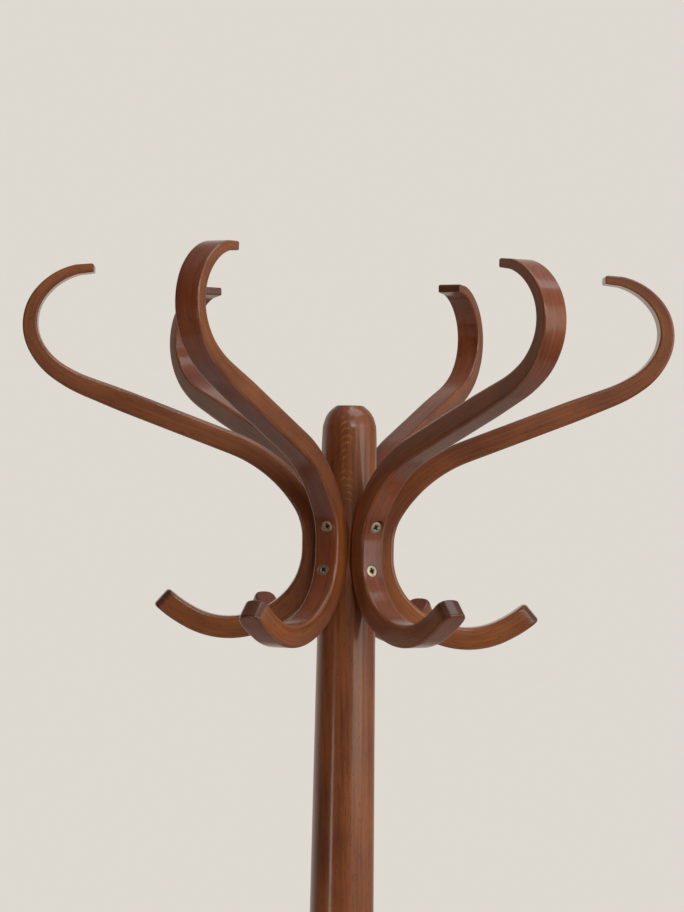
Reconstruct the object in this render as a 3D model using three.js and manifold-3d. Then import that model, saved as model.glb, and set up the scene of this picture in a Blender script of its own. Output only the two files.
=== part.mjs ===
// Standing coat rack in bent beech: a turned pole, six S-shaped hooks let into flats near its top,
// four bent legs round its foot, and a bent hoop that ties the legs and holds umbrellas.
// Millimetres and degrees. +Z is up, the pole stands on the Z axis and the floor is z = 0.
import * as THREE from 'three';
import { mergeVertices } from 'three/addons/utils/BufferGeometryUtils.js';
import Module from 'manifold-3d';

const wasm = await Module();
wasm.setup();

const { degToRad } = THREE.MathUtils;

// Driving dimensions
const gap = 0.3; // air left between two pieces that touch
const arcStep = 12; // longest bend, in degrees, drawn as one flat facet

// Pole, from its foot up: a slim turned post, widest at mid height
const neckHeight = 1640; // middle of the hooks' seat
const poleFoot = 138;
const poleTop = neckHeight + 114;
const poleSides = 24;
const poleBody = [
  // radius, height
  [27.0, poleFoot + 6],
  [27.8, 300],
  [28.6, 700],
  [28.2, 1050],
  [27.0, 1230],
  [25.6, neckHeight - 290],
  [23.6, neckHeight - 90],
  [22.5, neckHeight],
  [22.0, neckHeight + 84],
];
const poleCrown = [
  // radius, depth below the top
  [21.6, 18.5],
  [20.6, 13.5],
  [18.8, 8.5],
  [15.6, 4.0],
  [10.8, 0.0],
];
const poleFootRound = 6;

// Hooks: one strip, bent outward above and below the seat, then curled back at the top
const hookCount = 6;
const hookWidth = 20.6;
const hookThickness = 17.6;
const hookTipThickness = 7;
const hookTaperLead = 32; // the strip starts to thin this far below the curl
const hookSeat = 19; // distance from the pole's axis to the face that lies on the pole
const seatReach = 12; // the strip's inner face is followed this far out when the pole is cut
const seatClearance = 40;
const hookNeck = 9;
const hookUp = [
  { radius: 54, bend: 32.2 },
  { radius: 112, bend: 37.7 },
  { straight: 124.8 },
  { radius: 105, bend: -14.4 },
  { radius: 53.8, bend: -27.7 },
  { radius: 39, bend: -62.5 },
  { radius: 52.6, bend: -55.4 },
];
const hookDown = [
  { radius: 60, bend: 43.3 },
  { radius: 74, bend: 34.9 },
  { radius: 64, bend: 37.7 },
  { radius: 114, bend: 15 },
];
const hookEdge = 1.6; // chamfer along the strip's four edges
// No two hooks sit quite alike: degrees round the pole, degrees leaning out, and millimetres up.
// Bent wood also springs: upper and lower are how far each half strays [sideways, up, outward]
// for each millimetre that it stands clear of springStart.
const hookFit = [
  { turn: 0, lean: 0, lift: -2, upper: [-0.025, 0.027, -0.009], lower: [-0.02, -0.01, 0] },
  { turn: 2, lean: -1, lift: 0, upper: [0.008, 0.019, 0.009], lower: [-0.02, -0.06, 0] },
  { turn: 2, lean: 1, lift: 0, upper: [-0.015, 0.021, 0.033], lower: [-0.132, 0.019, 0] },
  { turn: -1, lean: 0, lift: 3, upper: [0.071, 0.004, 0.006], lower: [-0.008, 0.02, 0] },
  { turn: -1, lean: -1.5, lift: 0, upper: [-0.004, 0.038, -0.011], lower: [-0.029, -0.01, 0] },
  { turn: 0.5, lean: 1.5, lift: 0, upper: [0.028, 0.037, -0.025], lower: [0.005, 0.072, 0] },
];
const springStart = 42; // radius, and height above or below the seat, where the straying begins
const lowerNose = { length: 5, thicknessInset: 0.8, widthInset: 4.3 };
const upperNose = { length: 1.6, thicknessInset: 1.2, widthInset: 1.2 };

// Legs: the same kind of strip, heavier, ending upright at the floor and at the hoop
const legCount = 4;
const legWidth = 24;
const legThickness = 18;
const legSeat = 25;
const legNeck = 64;
const legNeckHeight = 285;
const legHoopStretch = 40; // upright stretch at the top that carries the hoop
const legUp = [
  { radius: 90, bend: 52 },
  { straight: 62 },
  { radius: 80, bend: -52 },
  { straight: legHoopStretch },
];
const legBend = 66;
const legDown = [
  { radius: 96, bend: legBend },
  { straight: 138 },
  { radius: 92, bend: -legBend },
  // and a last upright stretch down to the foot pad, worked out below
];
const legEdge = 1.6;
const padThickness = 4;
const padRadius = 8;
const padSides = 16;

// Umbrella hoop
const hoopThickness = 12;
const hoopHeight = 22;
const hoopSides = 40;
const hoopEase = 2;

// Countersunk screws with a cross recess
const screwSides = 8;
// heights are measured from the middle of the neck, sides from the strip's middle line
const hookScrew = { head: 4.7, shank: 2.3, length: 29, heights: [17, -17], sides: [1.2, -1.2] };
const legScrew = { head: 4.7, shank: 2.3, length: 34, heights: [20, -20], sides: [0, 0] };
const hoopScrew = { head: 4.2, shank: 2, length: 26 };
const screwTip = 5; // length of the pointed end
const screwPoint = 0.35; // the point's radius, as a share of the shank's
const screwSink = 0.4; // how far the head lies below the wood
const recess = { length: 4.6, width: 1.1, depth: 1.5 };

const beech = new THREE.MeshStandardMaterial({ color: 0x6b3a22, roughness: 0.38, metalness: 0 });
const brass = new THREE.MeshStandardMaterial({ color: 0xb8a67a, roughness: 0.35, metalness: 0.9 });
const felt = new THREE.MeshStandardMaterial({ color: 0x2b2622, roughness: 0.95, metalness: 0 });

// Joining and cutting
function toSolid(geometry, matrix) {
  const bare = geometry.clone();
  bare.deleteAttribute('normal');
  bare.deleteAttribute('uv');
  if (matrix) {
    bare.applyMatrix4(matrix);
  }
  const merged = mergeVertices(bare, 1e-4);
  const corners = merged.index.array;
  const triangles = [];
  for (let i = 0; i < corners.length; i += 3) {
    const [a, b, c] = corners.slice(i, i + 3);
    if (a !== b && b !== c && c !== a) {
      triangles.push(a, b, c);
    }
  }
  return new wasm.Manifold(new wasm.Mesh({
    numProp: 3,
    vertProperties: new Float32Array(merged.attributes.position.array),
    triVerts: new Uint32Array(triangles),
  }));
}

function toGeometry(solid) {
  const mesh = solid.getMesh();
  const geometry = new THREE.BufferGeometry();
  geometry.setAttribute('position', new THREE.BufferAttribute(new Float32Array(mesh.vertProperties), 3));
  geometry.setIndex(new THREE.BufferAttribute(new Uint32Array(mesh.triVerts), 1));
  geometry.computeVertexNormals();
  return geometry;
}

function addMesh(group, name, geometry, material) {
  const mesh = new THREE.Mesh(geometry, material.clone());
  mesh.name = name;
  group.add(mesh);
  return mesh;
}

// The middle line of a bent strip, as stations in the (radius, height) plane. It starts upright at
// the end of the neck; a positive bend turns it away from the pole.
function walk(startRadius, startHeight, segments) {
  let radius = startRadius;
  let height = startHeight;
  let angle = 0;
  let along = startHeight;
  const stations = [{ radius, height, angle, along }];
  for (const segment of segments) {
    const bend = degToRad(segment.bend ?? 0);
    const steps = segment.straight ? 1 : Math.ceil(Math.abs(segment.bend) / arcStep);
    for (let i = 0; i < steps; i++) {
      const turn = bend / steps;
      const arc = segment.straight ?? segment.radius * Math.abs(turn);
      const chord = segment.straight ?? 2 * segment.radius * Math.sin(Math.abs(turn) / 2);
      radius += chord * Math.sin(angle + turn / 2);
      height += chord * Math.cos(angle + turn / 2);
      angle += turn;
      along += arc;
      stations.push({ radius, height, angle, along });
    }
  }
  return stations;
}

// One line from the lower end to the upper end. The normal points away from the pole at the neck.
function middleLine(strip) {
  const centre = strip.seat + strip.thickness / 2;
  const upper = walk(centre, strip.neck / 2, strip.up);
  const lower = walk(centre, strip.neck / 2, strip.down);
  const mirrored = lower.reverse().map((p) => ({
    radius: p.radius, height: -p.height, angle: -p.angle, along: -p.along,
  }));
  return mirrored.concat(upper).map((p) => ({
    ...p,
    tangent: new THREE.Vector2(Math.sin(p.angle), Math.cos(p.angle)),
    normal: new THREE.Vector2(Math.cos(p.angle), -Math.sin(p.angle)),
    thickness: strip.thicknessAt(p.along),
  }));
}

function facePoint(station, side, inset = 0, back = 0) {
  return new THREE.Vector2(station.radius, station.height)
    .addScaledVector(station.normal, side * (station.thickness / 2 - inset))
    .addScaledVector(station.tangent, back);
}

// The strip's side outline, with both ends eased by a nose
function stripOutline(strip, line) {
  const last = line.length - 1;
  const faceLine = (side) => line.flatMap((station, i) => {
    if (i === 0 && strip.lowerNose) {
      return [
        facePoint(station, side, strip.lowerNose.thicknessInset),
        facePoint(station, side, 0, strip.lowerNose.length),
      ];
    }
    if (i === last && strip.upperNose) {
      return [
        facePoint(station, side, 0, -strip.upperNose.length),
        facePoint(station, side, strip.upperNose.thicknessInset),
      ];
    }
    return [facePoint(station, side)];
  });
  return new THREE.Shape([...faceLine(1), ...faceLine(-1).reverse()]);
}

// Turns a shape drawn in (radius, height) into a plate of the strip's width, centred on y = 0
function plate(shape, width, edge) {
  const geometry = new THREE.ExtrudeGeometry(shape, {
    depth: width - 2 * edge,
    bevelEnabled: edge > 0,
    bevelThickness: edge,
    bevelSize: edge,
    bevelOffset: -edge,
    bevelSegments: 1,
  });
  geometry.translate(0, 0, edge - width / 2);
  geometry.rotateX(Math.PI / 2);
  return geometry;
}

// Two blocks that plane the narrow sides of a strip's end into a nose
function noseCutters(strip, station, outward, nose) {
  const blockSize = 40;
  const end = new THREE.Vector3(station.radius, 0, station.height);
  const along = new THREE.Vector3(station.tangent.x, 0, station.tangent.y).multiplyScalar(outward);
  const through = new THREE.Vector3(station.normal.x, 0, station.normal.y);
  return [1, -1].map((side) => {
    const across = new THREE.Vector3(0, side, 0);
    const planed = new THREE.Vector3()
      .addScaledVector(along, nose.widthInset)
      .addScaledVector(across, nose.length)
      .normalize();
    const slope = new THREE.Vector3().crossVectors(through, planed);
    const middle = end.clone()
      .addScaledVector(along, -nose.length / 2)
      .addScaledVector(across, strip.width / 2 - nose.widthInset / 2)
      .addScaledVector(planed, blockSize / 2);
    const block = new THREE.BoxGeometry(blockSize, blockSize, blockSize);
    block.applyMatrix4(new THREE.Matrix4().makeBasis(planed, slope, through).setPosition(middle));
    return toSolid(block);
  });
}

// The cutter that lets a strip into the pole: everything outside its seat face, less the gap
function seatCutter(strip, line) {
  const reach = strip.seat + seatReach;
  const face = line
    .map((station) => facePoint(station, -1))
    .filter((point) => point.x < reach)
    .map((point) => new THREE.Vector2(point.x - gap, point.y));
  const clear = reach + seatClearance;
  const first = face[0];
  const last = face[face.length - 1];
  const shape = new THREE.Shape([
    ...face,
    new THREE.Vector2(clear, last.y),
    new THREE.Vector2(clear, first.y),
  ]);
  return plate(shape, strip.width + 2 * gap, 0);
}

// A screw stands on its own Z axis, with the head's flat face at z = 0 and the point below it
function screwProfile(screw, grow) {
  const head = screw.head + grow;
  const shank = screw.shank + grow;
  const headDepth = head - shank;
  const length = screw.length + grow;
  return [
    [0, -length],
    [shank * screwPoint, -length],
    [shank, -length + screwTip],
    [shank, -headDepth],
    [head, 0],
  ];
}

function screwSolid(screw) {
  const points = [...screwProfile(screw, 0), [0, 0]].map(([x, y]) => new THREE.Vector2(x, y));
  const turned = new THREE.LatheGeometry(points, screwSides);
  turned.rotateX(Math.PI / 2);
  let solid = toSolid(turned);
  for (const quarter of [0, Math.PI / 2]) {
    const slot = new THREE.BoxGeometry(recess.length, recess.width, 2 * recess.depth);
    slot.rotateZ(quarter);
    solid = solid.subtract(toSolid(slot));
  }
  return toGeometry(solid);
}

// The hole for a screw: its own shape grown by the gap, open above the head
function screwHole(screw) {
  const open = 12;
  const widest = screw.head + gap;
  const points = [...screwProfile(screw, gap), [widest, open], [0, open]];
  const turned = new THREE.LatheGeometry(points.map(([x, y]) => new THREE.Vector2(x, y)), screwSides);
  turned.rotateX(Math.PI / 2);
  return turned;
}

// Places a screw on a strip's outer face, square to it, at a height above the neck's middle
function screwPlace(strip, height, side) {
  const bendRadius = (height > 0 ? strip.up : strip.down)[0].radius - strip.thickness / 2;
  const past = Math.max(0, Math.abs(height) - strip.neck / 2);
  const angle = Math.asin(past / bendRadius) * Math.sign(height);
  const faceRadius = strip.seat + strip.thickness + bendRadius * (1 - Math.cos(angle));
  const outward = new THREE.Vector3(Math.cos(angle), 0, -Math.sin(angle));
  const position = new THREE.Vector3(faceRadius, side, height).addScaledVector(outward, -screwSink);
  const quaternion = new THREE.Quaternion().setFromUnitVectors(new THREE.Vector3(0, 0, 1), outward);
  return new THREE.Matrix4().compose(position, quaternion, new THREE.Vector3(1, 1, 1));
}

function stripSolid(strip, line) {
  const cutters = [];
  if (strip.lowerNose) {
    cutters.push(...noseCutters(strip, line[0], -1, strip.lowerNose));
  }
  if (strip.upperNose) {
    cutters.push(...noseCutters(strip, line[line.length - 1], 1, strip.upperNose));
  }
  const blank = toSolid(plate(stripOutline(strip, line), strip.width, strip.edge));
  return cutters.reduce((left, cutter) => left.subtract(cutter), blank);
}

// Moves a corner of a strip by as much as its half of the strip has sprung
function spring(corner, fit) {
  const [sideways, up, outward] = corner[2] > 0 ? fit.upper : fit.lower;
  const farOut = Math.max(0, corner[0] - springStart);
  const farUp = Math.max(0, Math.abs(corner[2]) - springStart);
  corner[0] += outward * farUp;
  corner[1] += sideways * farOut;
  corner[2] += up * farOut;
}

function total(segments) {
  const length = (segment) => segment.straight ?? segment.radius * Math.abs(degToRad(segment.bend));
  return segments.reduce((sum, segment) => sum + length(segment), 0);
}

// Hooks
const curlStart = hookNeck / 2 + total(hookUp.slice(0, 3)) - hookTaperLead;
const hookEnd = hookNeck / 2 + total(hookUp);
const hookStrip = {
  width: hookWidth,
  thickness: hookThickness,
  seat: hookSeat,
  neck: hookNeck,
  up: hookUp,
  down: hookDown,
  edge: hookEdge,
  lowerNose,
  upperNose,
  thicknessAt(along) {
    const thinned = THREE.MathUtils.clamp((along - curlStart) / (hookEnd - curlStart), 0, 1);
    return THREE.MathUtils.lerp(hookThickness, hookTipThickness, thinned);
  },
};

// The legs' last upright stretch ends just above the foot pads
const legDrop = walk(0, legNeck / 2, legDown).at(-1).height;
legDown.push({ straight: legNeckHeight - legDrop - padThickness - gap });

const legStrip = {
  width: legWidth,
  thickness: legThickness,
  seat: legSeat,
  neck: legNeck,
  up: legUp,
  down: legDown,
  edge: legEdge,
  upperNose: lowerNose,
  thicknessAt: () => legThickness,
};

const rack = new THREE.Group();
const poleCuts = [];
const hoopCuts = [];

// Each strip stands in a group of its own, so that its screws turn and lean with it
function fitStrips({ strip, screws, prefix, count, height, fits }) {
  const line = middleLine(strip);
  const holes = screws.map(({ screw, place }) => toSolid(screwHole(screw), place));
  const blank = stripSolid(strip, line);
  for (let i = 0; i < count; i++) {
    const fit = fits ? fits[i] : { turn: 0, lean: 0, lift: 0 };
    const sprung = fits ? blank.warp((corner) => spring(corner, fit)) : blank;
    const solid = holes.reduce((left, hole) => left.subtract(hole), sprung);
    const lean = degToRad(fit.lean);
    const pivot = strip.seat + strip.thickness / 2;
    const spoke = new THREE.Group();
    spoke.rotation.z = degToRad((360 / count) * i + fit.turn);
    const frame = new THREE.Group();
    frame.position.set(pivot * (1 - Math.cos(lean)), 0, height + fit.lift + pivot * Math.sin(lean));
    frame.rotation.y = lean;
    spoke.add(frame);
    rack.add(spoke);
    rack.updateMatrixWorld(true);
    poleCuts.push(toSolid(seatCutter(strip, line), frame.matrixWorld));
    addMesh(frame, `${prefix}_${i + 1}`, toGeometry(solid), beech);
    for (const { name, screw, place, cuts } of screws) {
      addMesh(frame, `${prefix}_${i + 1}_${name}`, screwSolid(screw), brass).applyMatrix4(place);
      cuts.push(toSolid(screwHole(screw), frame.matrixWorld.clone().multiply(place)));
    }
  }
}

function neckScrews(strip, screw) {
  return ['screw_upper', 'screw_lower'].map((name, i) => ({
    name,
    screw,
    place: screwPlace(strip, screw.heights[i], screw.sides[i]),
    cuts: poleCuts,
  }));
}

fitStrips({
  strip: hookStrip,
  screws: neckScrews(hookStrip, hookScrew),
  prefix: 'hook',
  count: hookCount,
  height: neckHeight,
  fits: hookFit,
});

// The hoop's screws stand level, through the middle of each leg's upright stretch
const legTop = walk(legSeat + legThickness / 2, legNeck / 2, legUp).at(-1);
const hoopLevel = legTop.height - legHoopStretch / 2;
const hoopScrewPlace = new THREE.Matrix4()
  .makeRotationY(Math.PI / 2)
  .setPosition(legTop.radius + legThickness / 2 - screwSink, 0, hoopLevel);

fitStrips({
  strip: legStrip,
  screws: [
    ...neckScrews(legStrip, legScrew),
    { name: 'screw_hoop', screw: hoopScrew, place: hoopScrewPlace, cuts: hoopCuts },
  ],
  prefix: 'leg',
  count: legCount,
  height: legNeckHeight,
});

function turn(points, sides) {
  const geometry = new THREE.LatheGeometry(points.map(([x, y]) => new THREE.Vector2(x, y)), sides);
  return geometry.rotateX(Math.PI / 2);
}

function addPads() {
  const footRadius = walk(legSeat + legThickness / 2, 0, legDown).at(-1).radius;
  for (let i = 0; i < legCount; i++) {
    const angle = (2 * Math.PI * i) / legCount;
    const pad = new THREE.CylinderGeometry(padRadius, padRadius, padThickness, padSides);
    pad.rotateX(Math.PI / 2);
    const mesh = addMesh(rack, `foot_pad_${i + 1}`, pad, felt);
    mesh.position.set(footRadius * Math.cos(angle), footRadius * Math.sin(angle), padThickness / 2);
  }
}

function addHoop() {
  const outer = legTop.radius - legThickness / 2 - gap;
  const inner = outer - hoopThickness;
  const half = hoopHeight / 2;
  const section = [
    [outer - hoopEase, -half],
    [outer, hoopEase - half],
    [outer, half - hoopEase],
    [outer - hoopEase, half],
    [inner + hoopEase, half],
    [inner, half - hoopEase],
    [inner, hoopEase - half],
    [inner + hoopEase, -half],
    [outer - hoopEase, -half],
  ];
  const ring = turn(section, hoopSides).translate(0, 0, legNeckHeight + hoopLevel);
  const solid = hoopCuts.reduce((left, cut) => left.subtract(cut), toSolid(ring));
  addMesh(rack, 'umbrella_hoop', toGeometry(solid), beech);
}

function addPole() {
  const profile = [
    [0, poleFoot],
    [poleBody[0][0] - poleFootRound, poleFoot],
    ...poleBody,
    ...poleCrown.map(([radius, depth]) => [radius, poleTop - depth]),
    [0, poleTop],
  ];
  const post = toSolid(turn(profile, poleSides));
  const solid = poleCuts.reduce((left, cut) => left.subtract(cut), post);
  addMesh(rack, 'pole', toGeometry(solid), beech);
}

addPads();
addHoop();
addPole();

export default rack;
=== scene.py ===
import math

import bmesh
import bpy
import numpy as np
from mathutils import Matrix, Vector


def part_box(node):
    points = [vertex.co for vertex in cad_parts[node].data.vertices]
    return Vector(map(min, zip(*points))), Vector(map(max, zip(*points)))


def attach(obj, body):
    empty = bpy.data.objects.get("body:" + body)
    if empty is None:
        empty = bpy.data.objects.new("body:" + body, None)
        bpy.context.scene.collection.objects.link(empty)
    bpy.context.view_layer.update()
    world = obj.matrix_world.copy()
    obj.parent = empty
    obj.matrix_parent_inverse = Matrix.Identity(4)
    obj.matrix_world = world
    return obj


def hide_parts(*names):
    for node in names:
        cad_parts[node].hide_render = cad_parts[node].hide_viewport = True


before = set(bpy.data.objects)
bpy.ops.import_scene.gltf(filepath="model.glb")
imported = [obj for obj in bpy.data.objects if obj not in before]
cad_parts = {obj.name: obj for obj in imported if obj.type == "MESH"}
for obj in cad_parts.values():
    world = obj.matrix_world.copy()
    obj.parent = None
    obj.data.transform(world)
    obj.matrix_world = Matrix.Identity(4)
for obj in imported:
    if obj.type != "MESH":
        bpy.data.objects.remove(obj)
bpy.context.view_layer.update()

# shared measures, in metres and degrees
poleTopAboveNeck = 0.114
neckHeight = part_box("pole")[1].z - poleTopAboveNeck
sharpAngle = math.radians(28)
bendStep = 3  # degrees of bend between two sections of a strip
straightStep = 0.012  # and their distance where it runs straight
edgeSegments = 4
noseSegments = 3
crispShare = 0.35  # rounding left on a nose's facets, as a share of the strip's own
easedShare = 0.4  # and round a strip's other end


# mesh tools
def smoothLine(points, spacing):
    # a curve through every point, sampled about one spacing apart
    ends = [points[0], *points, points[-1]]
    line = []
    for before, start, end, after in zip(ends, ends[1:], ends[2:], ends[3:]):
        p0, p1, p2, p3 = (Vector(p) for p in (before, start, end, after))
        count = max(1, math.ceil((p2 - p1).length / spacing))
        for i in range(count):
            t = i / count
            line.append(0.5 * (2 * p1 + (p2 - p0) * t + (2 * p0 - 5 * p1 + 4 * p2 - p3) * t ** 2
                               + (3 * p1 - p0 - 3 * p2 + p3) * t ** 3))
    line.append(Vector(points[-1]))
    return line


def turned(profile, steps, closed=False):
    # a solid of revolution on Z; the profile is (radius, height), from axis to axis or a closed loop
    bm = bmesh.new()
    verts = [bm.verts.new((radius, 0, height)) for radius, height in profile]
    edges = [bm.edges.new(pair) for pair in zip(verts, verts[1:])]
    if closed:
        edges.append(bm.edges.new((verts[-1], verts[0])))
    bmesh.ops.spin(bm, geom=verts + edges, axis=(0, 0, 1), cent=(0, 0, 0), angle=math.tau,
                   steps=steps, use_merge=True)
    bmesh.ops.remove_doubles(bm, verts=bm.verts, dist=1e-6)
    bmesh.ops.recalc_face_normals(bm, faces=bm.faces)
    return bm


def sharpEdges(bm):
    return [e for e in bm.edges if e.is_manifold and e.calc_face_angle() > sharpAngle]


def middleOf(edge):
    return (edge.verts[0].co + edge.verts[1].co) / 2


def roundEdges(bm, edges, radius, segments):
    bmesh.ops.bevel(bm, geom=edges, offset=radius, offset_type="OFFSET", segments=segments,
                    profile=0.5, affect="EDGES", material=-1, clamp_overlap=True)


def toMesh(bm, name):
    mesh = bpy.data.meshes.new(name)
    bm.to_mesh(mesh)
    bm.free()
    return mesh


def carve(mesh, cutterMeshes, rounding=0):
    # rounds the edges by their weights, cuts the cutters out, and returns the new mesh
    body = bpy.data.objects.new("carved", mesh)
    bpy.context.collection.objects.link(body)
    if rounding:
        rounded = body.modifiers.new("rounding", "BEVEL")
        rounded.limit_method, rounded.width, rounded.segments = "WEIGHT", rounding, edgeSegments
    cutters = []
    for cutterMesh in cutterMeshes:
        cutter = bpy.data.objects.new("cutter", cutterMesh)
        bpy.context.collection.objects.link(cutter)
        cut = body.modifiers.new("hole", "BOOLEAN")
        cut.object, cut.operation, cut.solver = cutter, "DIFFERENCE", "EXACT"
        cutters.append(cutter)
    bpy.context.view_layer.update()
    done = bpy.data.meshes.new_from_object(body.evaluated_get(bpy.context.evaluated_depsgraph_get()))
    for thing in (body, *cutters):
        bpy.data.objects.remove(thing)
    return done


def addPiece(name, mesh, place, nodes, material, grain=None, section=None):
    # one finished piece, its place in its mesh, standing for the CAD nodes it is named with
    mesh = mesh.copy()
    mesh.name = name
    for layerName, values in (("grain", grain), ("section", section)):
        if values is not None:
            layer = mesh.attributes.new(layerName, "FLOAT_VECTOR", "POINT")
            layer.data.foreach_set("vector", np.asarray(values, np.float32).ravel())
    mesh.transform(place)
    mesh.shade_smooth()
    mesh.materials.clear()
    mesh.materials.append(material)
    piece = bpy.data.objects.new(name, mesh)
    bpy.context.collection.objects.link(piece)
    weighted = piece.modifiers.new("evenShading", "WEIGHTED_NORMAL")
    weighted.weight = 80
    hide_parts(*nodes)
    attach(piece, "root")
    return piece


def plainSection(mesh):
    # for a piece without sawn ends: far from any edge or end
    return np.tile((0.5, 0.5, 100.0), (len(mesh.vertices), 1))


def points(mesh):
    places = np.empty(len(mesh.vertices) * 3)
    mesh.vertices.foreach_get("co", places)
    return places.reshape(-1, 3)


# shader tools
class Wire:
    # a socket in one node tree; sums on wires add Math nodes
    def __init__(self, tree, socket=None):
        self.tree, self.socket = tree, socket

    def node(self, kind, settings, inlets, outlet=0):
        made = self.tree.nodes.new("ShaderNode" + kind)
        for key, value in settings.items():
            if key == "stops":
                ramp = made.color_ramp
                while len(ramp.elements) < len(value):
                    ramp.elements.new(0.5)
                for element, (spot, color) in zip(ramp.elements, value):
                    element.position, element.color = spot, (*color, 1)
            else:
                setattr(made, key, value)
        for key, value in inlets.items():
            if isinstance(value, Wire):
                self.tree.links.new(value.socket, made.inputs[key])
            elif value is not None:
                made.inputs[key].default_value = value
        return Wire(self.tree, made.outputs[outlet])

    def math(self, operation, *values):
        return self.node("Math", {"operation": operation}, dict(enumerate(values)))

    def __add__(self, other):
        return self.math("ADD", self, other)

    def __sub__(self, other):
        return self.math("SUBTRACT", self, other)

    def __mul__(self, other):
        return self.math("MULTIPLY", self, other)

    def __rsub__(self, other):
        return self.math("SUBTRACT", other, self)

    __radd__ = __add__
    __rmul__ = __mul__

    def between(self, low, high):
        # 0 below low, 1 above high, smooth in between
        return self.node("MapRange", {"interpolation_type": "SMOOTHSTEP"},
                         {"Value": self, "From Min": low, "From Max": high})

    def stretch(self, scale, shift=(0, 0, 0)):
        return self.node("Mapping", {}, {"Vector": self, "Scale": scale, "Location": shift})

    def noise(self, scale=1, detail=3, roughness=0.55):
        return self.node("TexNoise", {}, {"Vector": self, "Scale": scale, "Detail": detail,
                                          "Roughness": roughness})

    def parts(self):
        return [self.node("SeparateXYZ", {}, {0: self}, outlet=n) for n in range(3)]

    def mix(self, first, second):
        # this wire is the factor between two colours
        tint = [(*c, 1) if isinstance(c, tuple) else c for c in (first, second)]
        return self.node("Mix", {"data_type": "RGBA"}, {0: self, 6: tint[0], 7: tint[1]}, outlet=2)


def newMaterial(name, constants):
    # constants are set on the shader's own sockets
    material = bpy.data.materials.new(name)
    material.use_nodes = True
    tree = material.node_tree
    tree.nodes.clear()
    shader = tree.nodes.new("ShaderNodeBsdfPrincipled")
    output = tree.nodes.new("ShaderNodeOutputMaterial")
    tree.links.new(shader.outputs[0], output.inputs[0])
    for key, value in constants.items():
        shader.inputs[key].default_value = value
    return material, Wire(tree), shader


def feed(shader, **wires):
    for name, wire in wires.items():
        wire.tree.links.new(wire.socket, shader.inputs[name.replace("_", " ")])


# materials
def stainedWood(name, look):
    # the grain attribute is (across, through, along) in metres, straight even where the piece bends
    material, start, shader = newMaterial(name, {
        "IOR": 1.45, "Coat Roughness": look["coatRoughness"], "Coat IOR": 1.5})
    grain = start.node("Attribute", {"attribute_name": "grain"}, {}, outlet=1)
    streaks = grain.stretch((300, 300, 5)).noise(detail=4, roughness=0.6)
    fibres = grain.stretch((1300, 1300, 34)).noise(detail=3, roughness=0.6)
    flecks = grain.stretch((760, 760, 190), (3, 1, 2)).noise(detail=1, roughness=0.4)
    blotches = grain.stretch((30, 30, 12)).noise(detail=3)
    wander = grain.stretch((26, 26, 5), (5, 2, 1)).noise(detail=2)
    pith = grain.node("VectorMath", {"operation": "LENGTH"},
                      {0: grain.stretch((1, 1, look["runOut"]), look["pith"])}, outlet=1)
    rings = (pith + wander * look["ringWander"]) * (math.tau / look["ringWidth"])
    ringLine = grain.math("SINE", rings) * 0.5 + 0.5
    tone = (streaks * look["streaking"] + blotches * 0.9 + fibres * 0.35 - ringLine * look["ringDepth"]
            + look["lift"])
    if "chevrons" in look:
        tone = tone + chevrons(grain, look["chevrons"])
    shade = tone.between(0.0, 1.1)
    body = shade.node("ValToRGB", {"stops": look["tones"]}, {"Fac": shade})
    fleck = flecks.between(0.62, 0.72) * look["fleckDepth"]
    flecked = fleck.mix(body, look["fleckTone"])
    pores = fibres.between(0.36, 0.26) * 0.35
    woody = pores.mix(flecked, look["poreTone"])
    section = start.node("Attribute", {"attribute_name": "section"}, {}, outlet=1)
    across, through, fromEnd = section.parts()
    if "sideTint" in look:  # the stain took deep and red on the broad faces, thin on the sawn sides
        sawn = (across - through).between(-0.12, 0.12)
        woody = woody.node("VectorMath", {"operation": "MULTIPLY"},
                           {0: woody, 1: sawn.mix(look["faceTint"], look["sideTint"])})
    corner = across.between(0.80, 0.96) * through.between(0.78, 0.95)
    rubbed = corner * grain.stretch((60, 60, 40), (1, 4, 2)).noise(detail=3).between(0.42, 0.62)
    woody = (rubbed * look["wear"]).mix(woody, look["wearTone"])
    face = start.math("MAXIMUM", across, through)
    endGrain = fromEnd.between(1.1, 0.8) * face.between(0.985, 0.90)
    woody = (endGrain * look["soaked"]).mix(woody, look["soakedTone"])
    roughness = blotches * 0.14 + fibres * 0.08 + rubbed * 0.12 + look["roughness"]
    relief = fibres * 0.5 + streaks * 0.5 - fleck * 0.3
    bump = start.node("Bump", {}, {"Strength": look["bump"], "Distance": 0.0003, "Height": relief})
    coat = look["coat"] - blotches * 0.15
    feed(shader, Base_Color=woody, Roughness=roughness, Normal=bump, Coat_Weight=coat)
    return material


def chevrons(grain, look):
    # a column of small pale arrowheads where the rings come to the surface
    swung = grain.node("VectorRotate", {"rotation_type": "Z_AXIS"},
                       {"Vector": grain, "Angle": math.radians(look["turn"])})
    sideways, inwards, height = swung.parts()
    side = sideways - look["side"]
    off = side.math("ABSOLUTE", side)
    ripple = grain.stretch((300, 300, 300), (7, 0, 0)).noise(detail=2) * look["ripple"]
    arched = height + off * off * look["slope"] + ripple
    wave = off.math("SINE", arched * (math.tau / look["pitch"]))
    line = wave.between(0.35, 1.0)
    inside = off.between(look["halfWidth"], look["halfWidth"] * 0.45)
    front = inwards.between(0, -0.01)
    high = height.between(look["low"], look["high"])
    broken = grain.stretch((120, 120, 60), (2, 9, 0)).noise(detail=1).between(0.35, 0.6)
    return line * inside * front * high * broken * look["depth"]


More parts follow.
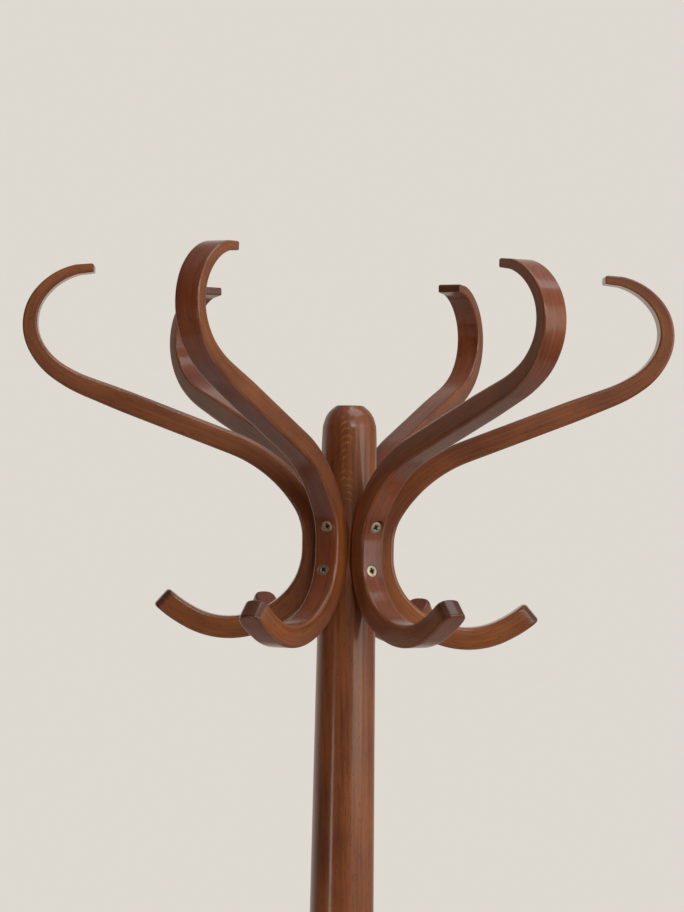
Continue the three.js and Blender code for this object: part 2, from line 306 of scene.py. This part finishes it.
walnutTones = [(0.0, (0.076, 0.0145, 0.0040)), (0.35, (0.172, 0.040, 0.0092)),
               (0.65, (0.275, 0.075, 0.0168)), (1.0, (0.42, 0.137, 0.034))]
woodLook = dict(tones=walnutTones, lift=-0.26, streaking=0.42, runOut=0.03, pith=(0.034, 0.012, 0),
                ringWidth=0.0026, ringWander=0.004, ringDepth=0.06,
                fleckDepth=0.45, fleckTone=(0.075, 0.022, 0.008), poreTone=(0.05, 0.015, 0.006),
                wear=0.5, wearTone=(0.34, 0.15, 0.065), soaked=0.68, soakedTone=(0.055, 0.016, 0.007),
                roughness=0.41, coat=0.72, coatRoughness=0.15, bump=0.2)
poleWood = stainedWood("poleWood", dict(woodLook, lift=-0.21, chevrons=dict(
    turn=3, side=-0.0016, slope=110, ripple=0.004, pitch=0.0056, halfWidth=0.0062, low=1.655, high=1.69,
    depth=0.42)))
stripWood = stainedWood("stripWood", dict(
    woodLook, pith=(0.02, 0.05, 0), ringWidth=0.0034, ringDepth=0.035,
    faceTint=(0.94, 0.78, 0.74), sideTint=(1.04, 1.08, 1.0)))


def plated(name, color, tarnish, tarnishAndShadeColor, roughness):
    # the grain attribute holds the screw's own frame, so painted shade darkens the cross recess and the
    # countersink below the rim, and real tarnish spots darken the plate
    material, start, shader = newMaterial(name, {"Metallic": 1.0})
    spot = start.node("Attribute", {"attribute_name": "grain"}, {}, outlet=1)
    patches = spot.noise(scale=420, detail=4)
    fine = spot.stretch((1, 1, 1), (0.3, 0, 0)).noise(scale=2600, detail=2)
    # painted shade: everything below the head's rim, the cross recess and the countersink gap, goes
    # towards near black
    sunk = (spot.parts()[2] * -1).between(0.00025, 0.0008)
    spotted = patches.between(0.62 - tarnish * 0.3, 0.78 - tarnish * 0.2) * tarnish
    # the dark tone is real tarnish spots together with the painted shade in the recess
    tarnishAndRecessShade = start.math("MAXIMUM", sunk, spotted)
    tint = (patches * 0.6 + fine * 0.4).mix(color, tuple(c * 0.72 for c in color))
    feed(shader, Base_Color=tarnishAndRecessShade.mix(tint, tarnishAndShadeColor), Metallic=1 - tarnishAndRecessShade * 0.85,
         Roughness=roughness + tarnishAndRecessShade * 0.35 + fine * 0.1)
    return material


brightPlate = plated("brightPlate", (0.60, 0.53, 0.38), 0.35, (0.03, 0.02, 0.01), 0.42)
dullPlate = plated("dullPlate", (0.54, 0.42, 0.26), 0.5, (0.03, 0.02, 0.01), 0.45)


def feltCloth():
    material, start, shader = newMaterial("padFelt", {"Roughness": 0.95, "Sheen Weight": 0.35})
    place = start.node("TexCoord", {}, {}, outlet="Object")
    fuzz = place.noise(scale=1400, detail=4, roughness=0.7)
    matted = place.noise(scale=180, detail=2)
    bump = start.node("Bump", {}, {"Strength": 0.6, "Distance": 0.0006, "Height": fuzz})
    feed(shader, Base_Color=(fuzz * 0.6 + matted * 0.4).mix((0.012, 0.010, 0.009), (0.06, 0.05, 0.042)),
         Normal=bump)
    return material


padFelt = feltCloth()
print("materials made")

# the bent strips
hooks = dict(
    width=0.0206, thickness=0.0176, tipThickness=0.007, taperLead=0.032, seat=0.019, neck=0.009,
    # stretches from the neck outwards: a bend's radius and degrees, or a length and 0 where straight
    up=[(0.054, 32.2), (0.112, 37.7), (0.1248, 0), (0.105, -14.4), (0.0538, -27.7), (0.039, -62.5),
        (0.0526, -55.4)],
    down=[(0.060, 43.3), (0.074, 34.9), (0.064, 37.7), (0.114, 15)],
    rounding=0.0026,
    noses=[(0.0076, 0.0082), (0.0084, 0.0074), (0.0074, 0.0080), (0.0078, 0.0072), (0.0088, 0.0072),
           (0.0080, 0.0070)],  # how far each side of the lower end is cut back
    # turned round the pole from its even place, leaning out (degrees) and lifted
    spacing=60,
    fits=[(0, 0, -0.002), (2, -1, 0), (2, 1, 0), (-1, 0, 0.003), (-1, -1.5, 0), (0.5, 1.5, 0)],
    # how far each half has sprung: sideways, up and outward, past springStart
    springStart=0.042,
    upper=[(-0.025, 0.027, -0.009), (0.008, 0.019, 0.009), (-0.015, 0.021, 0.033),
           (0.071, 0.004, 0.006), (-0.004, 0.038, -0.011), (0.028, 0.037, -0.025)],
    lower=[(-0.02, -0.01, 0), (-0.02, -0.06, 0), (-0.132, 0.019, 0),
           (-0.008, 0.02, 0), (-0.029, -0.01, 0), (0.005, 0.072, 0)],
)
legs = dict(
    width=0.024, thickness=0.018, tipThickness=0.018, taperLead=0.0, seat=0.025, neck=0.064,
    up=[(0.090, 52), (0.062, 0), (0.080, -52), (0.040, 0)],
    down=[(0.096, 66), (0.138, 0), (0.092, -66)],
    rounding=0.0026, noses=[(0.0045, 0.0045)], height=0.285, padThickness=0.004, gap=0.0003,
    turns=(0, 90, 180, 270),
)
curlAfter = 3  # stretches of the upper half before its curl
endRoom = 0.0115  # no section stands this near a cut end


def walk(strip, segments):
    # stations (radius, height, angle, along) of one half of a strip, from the neck outwards
    radius, height, angle = strip["seat"] + strip["thickness"] / 2, strip["neck"] / 2, 0.0
    along = height
    stations = [(radius, height, angle, along)]
    for size, bend in segments:
        steps = max(1, math.ceil(abs(bend) / bendStep)) if bend else math.ceil(size / straightStep)
        turn = math.radians(bend) / steps
        step = size * abs(turn) if bend else size / steps
        chord = 2 * size * math.sin(abs(turn) / 2) if bend else step
        for _ in range(steps):
            radius += chord * math.sin(angle + turn / 2)
            height += chord * math.cos(angle + turn / 2)
            angle += turn
            along += step
            stations.append((radius, height, angle, along))
    return stations


# the last stretch down reaches the felt pad
legs["down"].append((legs["height"] - walk(legs, legs["down"])[-1][1] - legs["padThickness"]
                     - legs["gap"], 0))


def bentLine(strip):
    # the whole middle line as an array, lower end first, with the thickness in the last column
    upper = walk(strip, strip["up"])
    lower = [(radius, -height, -angle, -along)
             for radius, height, angle, along in reversed(walk(strip, strip["down"]))]
    line = np.array(lower + upper)
    curlStart = walk(strip, strip["up"][:curlAfter])[-1][3] - strip["taperLead"]
    thickness = np.interp(line[:, 3], (curlStart, line[-1, 3]),
                          (strip["thickness"], strip["tipThickness"]))
    line = np.column_stack((line, thickness))
    fromEnd = np.minimum(line[:, 3] - line[0, 3], line[-1, 3] - line[:, 3])
    return line[(fromEnd < 1e-9) | (fromEnd > endRoom)]


def sectionAt(strip, station):
    # what turns a flat unit square into the strip's cross-section at one station
    radius, height, angle, along, thickness = station
    c, s = math.cos(angle), math.sin(angle)
    return Matrix(((c * thickness, 0, s, radius), (0, strip["width"], 0, 0),
                   (-s * thickness, 0, c, height), (0, 0, 0, 1)))


def sweep(strip, line):
    # a unit square, extruded from section to section; returns the mesh and its two end faces
    bm = bmesh.new()
    corners = [(0.5, -0.5), (0.5, 0.5), (-0.5, 0.5), (-0.5, -0.5)]
    start = bm.faces.new([bm.verts.new((x, y, 0)) for x, y in corners])
    bmesh.ops.transform(bm, matrix=sectionAt(strip, line[0]), verts=start.verts)
    cap = start
    for here, there in zip(line, line[1:]):
        made = bmesh.ops.extrude_face_region(bm, geom=[cap])["geom"]
        if cap.is_valid and cap is not start:
            bm.faces.remove(cap)
        move = sectionAt(strip, there) @ sectionAt(strip, here).inverted()
        fresh = [v for v in made if isinstance(v, bmesh.types.BMVert)]
        bmesh.ops.transform(bm, matrix=move, verts=fresh)
        cap = next(f for f in made if isinstance(f, bmesh.types.BMFace))
    bmesh.ops.recalc_face_normals(bm, faces=bm.faces)
    return bm, start, cap


def sideEdges(face):
    # the two edges of an end face that lie along the strip's narrow sides, left one first
    flat = [e for e in face.edges if abs(e.verts[0].co.y - e.verts[1].co.y) < 1e-5]
    return sorted(flat, key=lambda e: e.verts[0].co.y)


def shapeStrip(strip, line, cuts, noseAtTop=False):
    # sawn square, its nose cut back at both sides, and every sharp edge marked for rounding
    bm, lowerEnd, upperEnd = sweep(strip, line)
    nose = upperEnd if noseAtTop else lowerEnd
    for corner, cut in zip([middleOf(e) for e in sideEdges(nose)], cuts):
        roundEdges(bm, [min(bm.edges, key=lambda e: (middleOf(e) - corner).length)], cut, noseSegments)
    weight = bm.edges.layers.float.new("bevel_weight_edge")
    for edge in sharpEdges(bm):
        edge[weight] = roundingShare(strip, line, edge, noseAtTop)
    return toMesh(bm, "blank")


def roundingShare(strip, line, edge, noseAtTop):
    # the nose is worn round, its side facets stay crisp, and a thin tip is eased most on top
    mostly = 0.8  # of an edge's direction
    middle = middleOf(edge)
    away = np.hypot(line[:, 0] - middle.x, line[:, 1] - middle.z)
    nearest = away.argmin()
    share = float(line[nearest, 4]) / strip["thickness"]
    if nearest not in (0, len(line) - 1):
        return share
    angle = line[nearest, 2]
    outward = Vector((math.cos(angle), 0, -math.sin(angle)))
    run = (edge.verts[1].co - edge.verts[0].co).normalized()
    if (nearest > 0) == noseAtTop:
        return crispShare if abs(run.dot(outward)) > mostly else share
    onTop = (middle - Vector((line[nearest, 0], middle.y, line[nearest, 1]))).dot(outward) > 0
    return 1.0 if onTop and abs(run.y) > mostly else min(share, easedShare)


def spring(strip, k, mesh):
    # bent wood never comes out quite true
    places = points(mesh)
    high = places[:, 2] > 0
    sideways, up, outward = np.where(high, np.array(strip["upper"][k])[:, None],
                                     np.array(strip["lower"][k])[:, None])
    farOut = np.maximum(0, places[:, 0] - strip["springStart"])
    farUp = np.maximum(0, np.abs(places[:, 2]) - strip["springStart"])
    places += np.column_stack((outward * farUp, sideways * farOut, up * farOut))
    mesh.vertices.foreach_set("co", places.ravel())


def grainOf(mesh, strip, line, offset):
    # straightens the strip: across it, through it and along it, in metres; and how near a place is to
    # its edges, from 0 at the middle to 1 at a face, with the distance from its ends in centimetres
    places = points(mesh)
    flat = places[:, [0, 2]]
    starts, ends = line[:-1, :2], line[1:, :2]
    runs = ends - starts
    ahead = ((flat[:, None] - starts) * runs).sum(2) / (runs ** 2).sum(1)
    ahead = np.clip(ahead, 0, 1)
    near = starts + ahead[..., None] * runs
    miss = ((flat[:, None] - near) ** 2).sum(2)
    best = miss.argmin(1)
    rows = np.arange(len(flat))
    share = ahead[rows, best]
    angle = line[best, 2] + share * (line[best + 1, 2] - line[best, 2])
    along = line[best, 3] + share * (line[best + 1, 3] - line[best, 3])
    away = flat - near[rows, best]
    through = away[:, 0] * np.cos(angle) - away[:, 1] * np.sin(angle)
    thickness = line[best, 4] + share * (line[best + 1, 4] - line[best, 4])
    fromEnd = np.minimum(along - line[0, 3], line[-1, 3] - along)
    acrossShare = np.abs(places[:, 1]) * 2 / strip["width"]
    throughShare = np.abs(through) * 2 / thickness
    edges = np.column_stack((acrossShare, throughShare, fromEnd * 100))
    return np.column_stack((places[:, 1], through, along)) + offset, edges


def standing(strip, turn, lean=0.0, lift=0.0, height=0.0):
    # where a strip stands: turned round the pole, leaning about its neck
    pivot = Vector((strip["seat"] + strip["thickness"] / 2, 0, 0))
    tilt = (Matrix.Translation(pivot) @ Matrix.Rotation(math.radians(lean), 4, "Y")
            @ Matrix.Translation(-pivot))
    return (Matrix.Rotation(math.radians(turn), 4, "Z") @ Matrix.Translation((0, 0, height + lift))
            @ tilt)


# screws
screws = dict(
    head=0.0047, shank=0.0023, crown=0.00025, sink=0.0004, sides=40,
    holeGap=0.0003, holeDepth=0.0030, holeClear=0.004,
    tip=0.006, tipFlat=0.001, tipShare=0.35, underHead=0.0004,
    rim=[(0.0002, -0.00025), (0, -0.0001), (0.0003, 0.00005)],  # in from the head's edge, and height
    recessLength=0.0062, recessWidth=0.0016, recessDepth=0.0022, recessTaper=(0.45, 0.8),
    neckHeights=(0.017, -0.017), neckSides=(0.0012, -0.0012), hookLength=0.029,
    legHeights=(0.020, -0.020), legLength=0.034, hoopHead=0.0042, hoopLength=0.026,
    # degrees that each hook screw was left turned, and which of them are still bright
    spins=(12, 50, -20, 75, 38, 5, 61, -8, 24, 47, 33, 18), bright=(0, 1, 2, 3, 9, 10, 11),
    # the hook whose upper hole was first started off centre, and how far off
    strayHook=5, offCentre=(-0.0013, 0.0019),
    legSpin=17, spinStep=31,
)


def screwHole(head, shift=(0, 0)):
    reach, depth, clear = head + screws["holeGap"], screws["holeDepth"], screws["holeClear"]
    profile = [(0, -depth), (screws["shank"], -depth), (reach, 0), (reach, clear), (0, clear)]
    bm = turned(profile, screws["sides"])
    bmesh.ops.translate(bm, verts=bm.verts, vec=(*shift, 0))
    return bm


def screwMesh(head, length):
    shank, crown = screws["shank"], screws["crown"]
    tip = [(0, -length), (shank * screws["tipShare"], -length + screws["tipFlat"]),
           (shank, -length + screws["tip"])]
    rim = [(head - inwards, height) for inwards, height in screws["rim"]]
    profile = [*tip, (shank, -(head - shank) - screws["underHead"]), *rim,
               (head * 0.6, crown * 0.75), (0, crown)]
    body = toMesh(turned(profile, screws["sides"]), "screwBody")
    blades = []
    for quarter in (0, 90):
        bm = bmesh.new()
        bmesh.ops.create_cube(bm, size=1.0)
        size = (screws["recessLength"], screws["recessWidth"], 2 * screws["recessDepth"])
        bmesh.ops.scale(bm, vec=size, verts=bm.verts)
        bottom = [v for v in bm.verts if v.co.z < 0]  # the recess narrows as it goes down
        bmesh.ops.scale(bm, vec=(*screws["recessTaper"], 1), verts=bottom)
        bmesh.ops.rotate(bm, cent=(0, 0, 0), matrix=Matrix.Rotation(math.radians(quarter), 3, "Z"),
                         verts=bm.verts)
        blades.append(toMesh(bm, "blade"))
    return carve(body, blades)


def faceSpot(strip, height, side):
    # a frame on a strip's outer face, Z out of the wood, at a height beside its neck
    bendRadius = (strip["up"] if height > 0 else strip["down"])[0][0] - strip["thickness"] / 2
    past = max(0.0, abs(height) - strip["neck"] / 2)
    angle = math.copysign(math.asin(past / bendRadius), height)
    face = strip["seat"] + strip["thickness"] + bendRadius * (1 - math.cos(angle))
    outward = Vector((math.cos(angle), 0, -math.sin(angle)))
    turnedOut = Vector((0, 0, 1)).rotation_difference(outward).to_matrix().to_4x4()
    return Matrix.Translation((face, side, height)) @ turnedOut


def cutHoles(mesh, spots, rounding):
    cutters = []
    for spot, head, shift in spots:
        cutter = toMesh(screwHole(head, shift), "screwHole")
        cutter.transform(spot)
        cutters.append(cutter)
    return carve(mesh, cutters, rounding)


def placeScrew(name, node, mesh, spot, material, spin):
    sunk = (spot @ Matrix.Translation((0, 0, -screws["sink"]))
            @ Matrix.Rotation(math.radians(spin), 4, "Z"))
    addPiece(name, mesh, sunk, [node], material, grain=points(mesh))


hookScrewMesh = screwMesh(screws["head"], screws["hookLength"])
hookSpots = [faceSpot(hooks, height, side)
             for height, side in zip(screws["neckHeights"], screws["neckSides"])]
hookPlaces = [standing(hooks, hooks["spacing"] * k + turn, lean, lift, neckHeight)
              for k, (turn, lean, lift) in enumerate(hooks["fits"])]
hookLine = bentLine(hooks)

for k, place in enumerate(hookPlaces):
    blank = shapeStrip(hooks, hookLine, hooks["noses"][k])
    spots = [(spot, screws["head"], (0, 0)) for spot in hookSpots]
    if k == screws["strayHook"]:  # an empty crescent shows beside the head
        spots.append((hookSpots[0], screws["head"], screws["offCentre"]))
    carved = cutHoles(blank, spots, hooks["rounding"])
    elsewhere = (0.31 * k, 0.17 * k, 0.83 * k)  # so that no two strips show the same grain
    grain, edges = grainOf(carved, hooks, hookLine, elsewhere)
    spring(hooks, k, carved)
    addPiece(f"bentHook{k + 1}", carved, place, [f"hook_{k + 1}"], stripWood,
             grain, edges)
    for j, level in enumerate(("upper", "lower")):
        count = 2 * k + j
        material = brightPlate if count in screws["bright"] else dullPlate
        placeScrew(f"hookScrew{k + 1}{level}", f"hook_{k + 1}_screw_{level}", hookScrewMesh,
                   place @ hookSpots[j], material, screws["spins"][count])
print("hooks fitted")

# the legs and the hoop
legScrewMesh = screwMesh(screws["head"], screws["legLength"])
hoopScrewMesh = screwMesh(screws["hoopHead"], screws["hoopLength"])
legLine = bentLine(legs)
legBlank = shapeStrip(legs, legLine, legs["noses"][0], noseAtTop=True)
legTop = walk(legs, legs["up"])[-1]
hoopStretch = legs["up"][-1][0]
hoopSpot = (Matrix.Translation((legTop[0] + legs["thickness"] / 2, 0, legTop[1] - hoopStretch / 2))
            @ Matrix.Rotation(math.radians(90), 4, "Y"))
legSpots = [faceSpot(legs, height, 0) for height in screws["legHeights"]]
legBlank = cutHoles(legBlank, [(spot, screws["head"], (0, 0)) for spot in legSpots]
                    + [(hoopSpot, screws["hoopHead"], (0, 0))], legs["rounding"])
legPlaces = [standing(legs, turn, height=legs["height"]) for turn in legs["turns"]]
for k, place in enumerate(legPlaces):
    elsewhere = (0.29 * k + 3, 0.13 * k, 0.71 * k)
    grain, edges = grainOf(legBlank, legs, legLine, elsewhere)
    addPiece(f"bentLeg{k + 1}", legBlank, place, [f"leg_{k + 1}"], stripWood,
             grain, edges)
    for level, spot in zip(("upper", "lower", "hoop"), (*legSpots, hoopSpot)):
        mesh = hoopScrewMesh if level == "hoop" else legScrewMesh
        placeScrew(f"legScrew{k + 1}{level}", f"leg_{k + 1}_screw_{level}", mesh, place @ spot,
                   brightPlate, screws["legSpin"] + k * screws["spinStep"])

hoop = dict(thickness=0.012, steps=160, rounding=0.003)


def makeHoop():
    low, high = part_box("umbrella_hoop")
    outer = high.x
    inner = outer - hoop["thickness"]
    profile = [(inner, low.z), (outer, low.z), (outer, high.z), (inner, high.z)]
    bm = turned(profile, hoop["steps"], closed=True)
    roundEdges(bm, sharpEdges(bm), hoop["rounding"], edgeSegments)
    mesh = toMesh(bm, "hoop")
    places = points(mesh)
    along = np.arctan2(places[:, 1], places[:, 0]) * outer
    grain = np.column_stack((places[:, 2], np.hypot(places[:, 0], places[:, 1]), along)) + 5.3
    addPiece("bentHoop", mesh, Matrix(), ["umbrella_hoop"], stripWood, grain,
             plainSection(mesh))


makeHoop()


pads = dict(sides=48, ease=0.0006, lowerEase=0.0004)


def makePads():
    ease = pads["ease"]
    for k in range(len(legPlaces)):
        low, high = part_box(f"foot_pad_{k + 1}")
        radius, thick = (high.x - low.x) / 2, high.z - low.z
        profile = [(0, 0), (radius - pads["lowerEase"], 0), (radius, ease), (radius, thick - ease),
                   (radius - ease, thick), (0, thick)]
        middle = ((low.x + high.x) / 2, (low.y + high.y) / 2, low.z)
        addPiece(f"feltPad{k + 1}", toMesh(turned(profile, pads["sides"]), "pad"),
                 Matrix.Translation(middle), [f"foot_pad_{k + 1}"], padFelt)


makePads()
print("legs, hoop and pads fitted")

# the pole
pole = dict(
    # (radius, height above the floor), from the foot's rounded edge to the shoulder
    body=[(0.0270, 0.144), (0.0278, 0.300), (0.0286, 0.700), (0.0282, 1.050), (0.0270, 1.230),
          (0.0256, 1.350), (0.0236, 1.550), (0.0225, 1.640), (0.0220, 1.724)],
    # (radius, depth below the top)
    crown=[(0.0216, 0.0185), (0.0206, 0.0135), (0.0188, 0.0085), (0.0156, 0.0040), (0.0108, 0.0)],
    footRound=0.006, sides=160, spacing=0.012, crownSpacing=0.0012, seatSpacing=0.0016, seatReach=0.040,
    seatGap=0.0003, faceReach=0.012, seatSideRoom=0.0012,
)


def poleProfile():
    low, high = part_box("pole")
    footRadius, footRound = pole["body"][0][0], pole["footRound"]
    footEdge = (footRadius - footRound, low.z)
    eased = footRound * 0.3  # how far in from its corner a rounding's middle lies
    footCurve = (footRadius - eased, low.z + eased)
    crown = [(radius, high.z - depth) for radius, depth in pole["crown"]]
    crownBase = crown[0][1]
    crownLine = smoothLine([pole["body"][-1]] + crown, pole["crownSpacing"])
    body = smoothLine([footCurve] + pole["body"] + crown, pole["spacing"])
    heights = [p.y for p in body]
    radii = [p.x for p in body]
    reach = pole["seatReach"]
    seat = np.arange(neckHeight - reach, neckHeight + reach, pole["seatSpacing"])
    levels = sorted({*heights, *seat.tolist()})
    rows = [(float(np.interp(level, heights, radii)), level) for level in levels if level < crownBase]
    rows += [(p.x, p.y) for p in crownLine if p.y >= crownBase]
    return [(0, low.z), footEdge, *rows, (0, high.z)]


def planeSeats(mesh, strip, line, places):
    # presses the pole's skin back to just behind each strip's inner face
    skin = points(mesh)
    farAway = 1  # where a strip has no inner face, nothing is pressed
    inner = np.column_stack((line[:, 0] - np.cos(line[:, 2]) * line[:, 4] / 2,
                             line[:, 1] + np.sin(line[:, 2]) * line[:, 4] / 2))
    inner = inner[inner[:, 0] < strip["seat"] + pole["faceReach"]]
    for place in places:
        back = np.array(place.inverted())
        local = skin @ back[:3, :3].T + back[:3, 3]
        face = np.interp(local[:, 2], inner[:, 1], inner[:, 0], left=farAway, right=farAway)
        face -= pole["seatGap"]
        beside = np.abs(local[:, 1]) < strip["width"] / 2 + pole["seatSideRoom"]
        deep = (local[:, 0] > face) & beside
        local[deep, 0] = face[deep]
        out = np.array(place)
        skin[deep] = (local @ out[:3, :3].T + out[:3, 3])[deep]
    mesh.vertices.foreach_set("co", skin.ravel())


poleMesh = toMesh(turned(poleProfile(), pole["sides"]), "pole")
planeSeats(poleMesh, hooks, hookLine, hookPlaces)
planeSeats(poleMesh, legs, legLine, legPlaces)
addPiece("turnedPole", poleMesh, Matrix(), ["pole"], poleWood, points(poleMesh),
         plainSection(poleMesh))
print("pole turned")

# stage, light and camera
# metres from the pole's axis and above its neck, degrees, and the lens and sensor in millimetres
camera = dict(distance=2.3555, above=0.049, swing=-3.0, yaw=-0.138, pitch=0.598, roll=0.932,
              lens=115.90658, sensor=36)


def setCamera():
    data = bpy.data.cameras.new("camera")
    data.sensor_width = camera["sensor"]
    data.lens = camera["lens"]
    data.clip_start, data.clip_end = 0.05, 50
    eye = bpy.data.objects.new("camera", data)
    bpy.context.collection.objects.link(eye)
    swing = Matrix.Rotation(math.radians(camera["swing"]), 4, "Z")
    spot = Matrix.Translation((0, -camera["distance"], neckHeight + camera["above"]))
    aim = (Matrix.Rotation(math.radians(-camera["yaw"]), 4, "Z")
           @ Matrix.Rotation(math.radians(90 + camera["pitch"]), 4, "X")
           @ Matrix.Rotation(math.radians(camera["roll"]), 4, "Z"))
    eye.matrix_world = swing @ spot @ aim
    bpy.context.scene.camera = eye


floorDisc = dict(radius=1.8, sides=128, color=(0.90, 0.87, 0.82, 1), roughness=0.8)


def addFloor():
    bm = bmesh.new()
    bmesh.ops.create_circle(bm, cap_ends=True, segments=floorDisc["sides"], radius=floorDisc["radius"])
    floor = bpy.data.objects.new("floor", toMesh(bm, "floor"))
    bpy.context.collection.objects.link(floor)
    paint = newMaterial("floorPaint", {"Base Color": floorDisc["color"],
                                       "Roughness": floorDisc["roughness"]})[0]
    floor.data.materials.append(paint)


lights = [
    # name, place, aim, width, height, watts, colour
    ("window", (1.75, -1.7, 2.1), (0, 0, 1.6), 1.8, 1.8, 24, (1.0, 0.93, 0.83)),
    ("front", (0.6, -2.6, 2.9), (0, 0, 1.6), 0.9, 0.9, 17, (0.93, 1.0, 0.97)),
    ("slit", (-1.75, -1.65, 0.75), (0, 0, 1.0), 0.34, 1.2, 6.6, (1.0, 0.84, 0.78)),
    ("side", (2.2, -0.2, 1.9), (0, 0, 1.6), 1.2, 1.6, 4.2, (1.0, 0.97, 0.93)),
    ("top", (0.5, -0.2, 3.3), (0, 0, 1.6), 1.3, 1.3, 12, (0.87, 0.96, 1.0)),
]


def addLights():
    for name, place, aim, width, height, watts, color in lights:
        data = bpy.data.lights.new(name, "AREA")
        data.shape, data.size, data.size_y = "RECTANGLE", width, height
        data.energy, data.color = watts, color
        lamp = bpy.data.objects.new(name, data)
        bpy.context.collection.objects.link(lamp)
        lamp.location = place
        lamp.rotation_euler = (Vector(place) - Vector(aim)).to_track_quat("Z", "Y").to_euler()


room = dict(seen=(0.735, 0.695, 0.635), shade=(0.010, 0.008, 0.006), wall=(0.78, 0.71, 0.63),
            window=(0.22, 0.22, 0.21), sky=(0.14, 0.13, 0.14), ground=(0.03, 0.026, 0.022))


def addRoom():
    # the camera sees an even pale wall; the light comes from the right, from above and off the wall
    world = bpy.data.worlds.new("room")
    world.use_nodes = True
    tree = world.node_tree
    tree.nodes.clear()
    start = Wire(tree)
    way = start.node("TexCoord", {}, {}, outlet="Generated")
    right, back, up = way.parts()
    light = back.between(0.05, 0.75).mix(room["shade"], room["wall"])
    light = right.between(0.15, 0.9).mix(light, room["window"])
    light = up.between(0.25, 0.85).mix(light, room["sky"])
    light = up.between(-0.25, -0.8).mix(light, room["ground"])
    seen = start.node("LightPath", {}, {}, outlet="Is Camera Ray")
    shader = start.node("Background", {}, {"Color": seen.mix(light, room["seen"])})
    output = tree.nodes.new("ShaderNodeOutputWorld")
    tree.links.new(shader.socket, output.inputs[0])
    bpy.context.scene.world = world


addRoom()
addFloor()
addLights()
setCamera()
bpy.context.scene.view_settings.view_transform = "Standard"
print("stage set")
